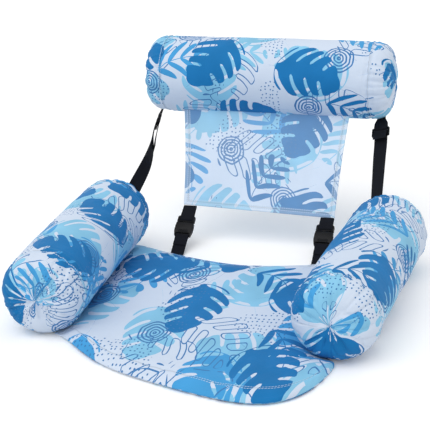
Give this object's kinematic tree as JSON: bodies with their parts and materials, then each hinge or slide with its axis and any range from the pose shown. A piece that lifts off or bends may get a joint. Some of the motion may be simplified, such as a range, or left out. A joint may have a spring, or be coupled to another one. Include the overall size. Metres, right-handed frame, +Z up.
{
  "type": "inflatable pool chair",
  "caption": "Floating pool chair: armrest tubes sewn to a padded seat, and a tubular backrest on adjustable straps that tilts forward, with release buckles and air plugs.",
  "frame": {"origin": "point of the seat's flat underside, on the floor, midway between the middles of the armrests", "axes": "+Z up, +X to the left of a person who sits in the chair, which is a viewer's right from the front; the sitter faces -Y"},
  "size_m": [0.7708, 0.9786, 0.4338],
  "materials": {
    "printed_cover": "printed woven polyester, matt",
    "sheer_panel": "printed thin polyester, slightly sheer",
    "clear_vinyl": "flexible PVC film",
    "white_vinyl": "moulded soft PVC",
    "black_webbing": "woven polypropylene webbing",
    "black_acetal": "moulded acetal, satin"
  },
  "bodies": {
    "seat": {"seat_panel": "printed_cover", "left_arm_cover": "printed_cover", "right_arm_cover": "printed_cover", "left_arm_bladder": "clear_vinyl", "right_arm_bladder": "clear_vinyl", "left_arm_valve": "white_vinyl", "right_arm_valve": "white_vinyl", "left_hem_tail": "black_webbing", "right_hem_tail": "black_webbing"},
    "backrest": {"backrest_cover": "printed_cover", "backrest_bladder": "clear_vinyl", "backrest_valve": "white_vinyl", "back_panel": "sheer_panel", "left_upper_tab": "black_webbing", "left_strap_slider": "black_acetal", "left_side_strap": "black_webbing", "left_lower_strap": "black_webbing", "left_buckle_socket": "black_acetal", "left_buckle_plug": "black_acetal", "left_panel_loop": "black_webbing", "right_upper_tab": "black_webbing", "right_strap_slider": "black_acetal", "right_side_strap": "black_webbing", "right_lower_strap": "black_webbing", "right_buckle_socket": "black_acetal", "right_buckle_plug": "black_acetal", "right_panel_loop": "black_webbing"},
    "left_arm_plug": {"left_arm_plug": "white_vinyl"},
    "right_arm_plug": {"right_arm_plug": "white_vinyl"},
    "backrest_plug": {"backrest_plug": "white_vinyl"},
    "left_buckle_prong_left": {"left_buckle_prong_left": "black_acetal"},
    "left_buckle_prong_right": {"left_buckle_prong_right": "black_acetal"},
    "right_buckle_prong_left": {"right_buckle_prong_left": "black_acetal"},
    "right_buckle_prong_right": {"right_buckle_prong_right": "black_acetal"}
  },
  "joints": [
    {"name": "backrest_recline", "type": "hinge", "parent": "seat", "child": "backrest", "pos_m": [0, 0.24904, 0.003], "axis": [1, 0, 0], "range_deg": [0, 37], "deforming": ["left_side_strap", "right_side_strap"]},
    {"name": "left_arm_plug_pull", "type": "slide", "parent": "seat", "child": "left_arm_plug", "axis": [-0.0523, 0.9986, 0], "range_m": [0, 0.011]},
    {"name": "right_arm_plug_pull", "type": "slide", "parent": "seat", "child": "right_arm_plug", "axis": [0.0523, 0.9986, 0], "range_m": [0, 0.011]},
    {"name": "backrest_plug_pull", "type": "slide", "parent": "backrest", "child": "backrest_plug", "axis": [-1, 0, 0], "range_m": [0, 0.011]},
    {"name": "left_buckle_left_release", "type": "hinge", "parent": "backrest", "child": "left_buckle_prong_left", "pos_m": [-0.1675, 0.31933, 0.04953], "axis": [0, -0.5519, 0.8339], "range_deg": [0, 10], "stiffness_Nm_per_rad": 0.05},
    {"name": "left_buckle_right_release", "type": "hinge", "parent": "backrest", "child": "left_buckle_prong_right", "pos_m": [-0.1465, 0.31933, 0.04953], "axis": [0, 0.5519, -0.8339], "range_deg": [0, 10], "stiffness_Nm_per_rad": 0.05},
    {"name": "right_buckle_left_release", "type": "hinge", "parent": "backrest", "child": "right_buckle_prong_left", "pos_m": [0.1465, 0.31933, 0.04953], "axis": [0, -0.5519, 0.8339], "range_deg": [0, 10], "stiffness_Nm_per_rad": 0.05},
    {"name": "right_buckle_right_release", "type": "hinge", "parent": "backrest", "child": "right_buckle_prong_right", "pos_m": [0.1675, 0.31933, 0.04953], "axis": [0, 0.5519, -0.8339], "range_deg": [0, 10], "stiffness_Nm_per_rad": 0.05}
  ]
}
